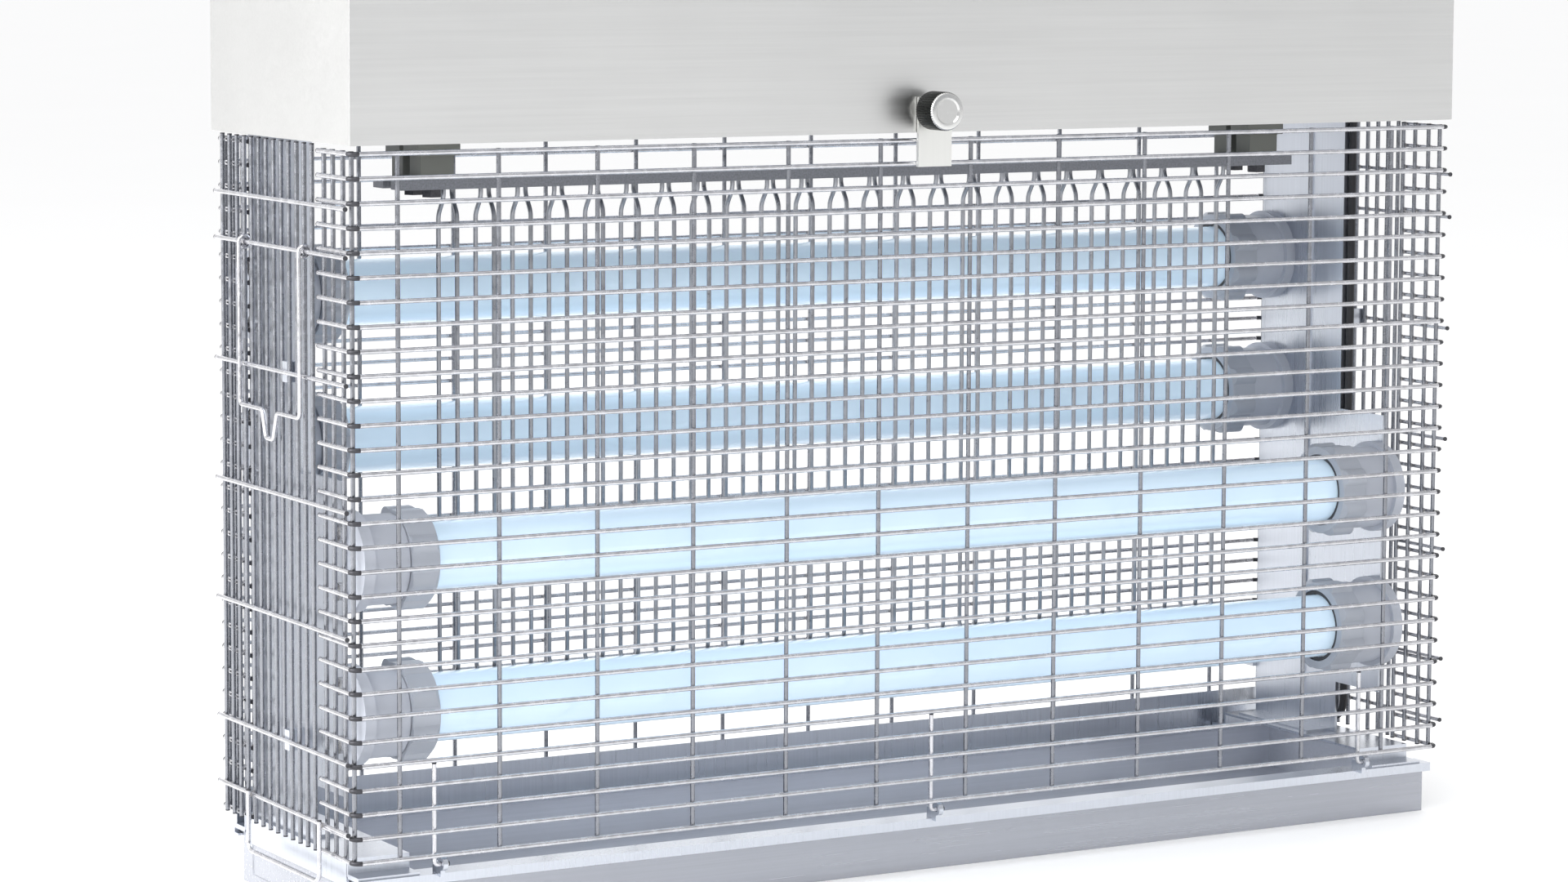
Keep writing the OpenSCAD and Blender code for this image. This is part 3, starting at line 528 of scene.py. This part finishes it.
def softened(node, width, segments=2, inside=None):
    """A CAD node's shape with its sharp edges rounded, as folded sheet and mouldings have them.

    inside names a second material, for the faces within an open box such as the tray; the tray's inside is
    painted lighter than its outside, as painted light.
    """
    mesh = frame["nodes"][node].data.copy()
    mesh.name = node + "_rounded"
    mesh.materials.clear()
    for key in (SLOT_OF[node], inside) if inside else (SLOT_OF[node],):
        mesh.materials.append(MATERIALS[key])
    bm = bmesh.new()
    bm.from_mesh(mesh)
    bmesh.ops.remove_doubles(bm, verts=bm.verts, dist=1e-6)
    bmesh.ops.dissolve_limit(bm, angle_limit=math.radians(0.5), verts=bm.verts, edges=bm.edges)
    sharp = [e for e in bm.edges if len(e.link_faces) == 2 and e.calc_face_angle(0) > math.radians(38)]
    bmesh.ops.bevel(bm, geom=sharp, offset=width, offset_type="OFFSET", segments=segments, profile=0.5,
                    affect="EDGES", clamp_overlap=True)
    bmesh.ops.recalc_face_normals(bm, faces=bm.faces)
    # the tray's inner faces take the lighter copy of the sheet, which is painted light
    if inside:
        for face in bm.faces:
            face.material_index = int(within_tray(face.calc_center_median(), *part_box(node)))
    bm.to_mesh(mesh)
    bm.free()
    mesh.shade_smooth()
    mesh.set_sharp_from_angle(angle=math.radians(28))
    piece = register(bpy.data.objects.new(node + "_rounded", mesh), BODY_OF[node], SLOT_OF[node], node)
    flatten = piece.modifiers.new("flat_faces", "WEIGHTED_NORMAL")
    flatten.keep_sharp, flatten.weight = True, 80


# ---- studio ----


def studio():
    world = bpy.data.worlds.new("studio")
    bpy.context.scene.world = world
    world.use_nodes = True
    nodes, links = world.node_tree.nodes, world.node_tree.links
    coords = nodes.new("ShaderNodeTexCoord")
    split = nodes.new("ShaderNodeSeparateXYZ")
    ramp = nodes.new("ShaderNodeValToRGB")
    span = nodes.new("ShaderNodeMapRange")
    links.new(coords.outputs["Generated"], split.inputs[0])
    links.new(split.outputs["Y"], span.inputs[0])
    for index, value in ((1, -1.0), (2, 0.1)):
        span.inputs[index].default_value = value
    links.new(span.outputs[0], ramp.inputs[0])
    ramp.color_ramp.elements[0].color = (0.52, 0.53, 0.55, 1)
    ramp.color_ramp.elements[1].color = (1, 1, 1, 1)
    links.new(ramp.outputs[0], nodes["Background"].inputs["Color"])
    nodes["Background"].inputs["Strength"].default_value = 1.0

    paper = Shader("paper_floor")
    paper.surface(Base_Color=paper.blend(paper.noise(3), (0.93, 0.93, 0.93), (0.96, 0.96, 0.96)),
                  Roughness=0.9, Specular_IOR_Level=0.1, Emission_Color=(1, 1, 1, 1), Emission_Strength=0.12)
    mesh = bpy.data.meshes.new("floor")
    reach = 40.0
    mesh.from_pydata([(-reach, -reach, 0), (reach, -reach, 0), (reach, reach, 0), (-reach, reach, 0)], [],
                     [(0, 1, 2, 3)])
    mesh.materials.append(paper.material)
    floor = bpy.data.objects.new("floor", mesh)
    bpy.context.scene.collection.objects.link(floor)

    middle = (cad_lo + cad_hi) / 2
    for name, place, size, power in (("key", (-0.9, -1.1, 1.5), 1.2, 14), ("side", (-1.6, 0.2, 0.6), 1.0, 24),
                                     ("top", (0.2, 0.3, 1.9), 1.6, 6), ("rear", (0.6, 1.6, 0.7), 1.6, 4)):
        light = bpy.data.lights.new(name, "AREA")
        light.size, light.energy = size, power
        lamp = bpy.data.objects.new(name, light)
        lamp.location = middle + Vector(place)
        lamp.rotation_euler = (-Vector(place)).to_track_quat("-Z", "Y").to_euler()
        bpy.context.scene.collection.objects.link(lamp)
    bpy.context.scene.view_settings.view_transform = "Standard"


def camera():
    """The photograph's view: a long lens to the left of the front, a little above the middle."""
    yaw, pitch, roll = 0.5184, 0.1020, 0.0047
    place_in_view = Vector((-156.797, -80.624, 1628.343)) * MM  # of the housing's lower front left corner
    corner = Vector((-250, -65, 294)) * MM
    turn = (Matrix.Rotation(roll, 3, "Z") @ Matrix.Rotation(pitch, 3, "X")
            @ Matrix(((math.cos(yaw), -math.sin(yaw), 0), (0, 0, -1), (math.sin(yaw), math.cos(yaw), 0))))
    data = bpy.data.cameras.new("camera")
    data.sensor_width, data.lens = 36, 103.54
    data.shift_y = -0.0469
    data.clip_start, data.clip_end = 0.01, 200
    view = bpy.data.objects.new("camera", data)
    bpy.context.scene.collection.objects.link(view)
    right, down, forward = turn[0], turn[1], turn[2]
    axes = Matrix((right, -down, -forward)).transposed()
    view.matrix_world = Matrix.Translation(corner - turn.transposed() @ place_in_view) @ axes.to_4x4()
    bpy.context.scene.camera = view


camera()
studio()
for node, obj in frame["nodes"].items():
    obj.data.materials.clear()
    obj.data.materials.append(MATERIALS[SLOT_OF[node]])
front_guard()
back_guard()
side_guard("left", "side_wire_guard_left")
side_guard("right", "side_wire_guard_right")
tray_stirrup()
side_flap()
high_voltage_grid()
knurled_knob()
for node in ("latch_plate", "guard_clips", "insulators_top", "insulators_bottom"):
    softened(node, 0.35 * MM)
softened("tray", 0.35 * MM, inside="tray_inside_painted_light")
softened("housing_shell", 0.7 * MM, 3)
for i in LAMPS:
    for side in SIDES:
        softened("ring_%d_%s" % (i, side), 0.5 * MM)
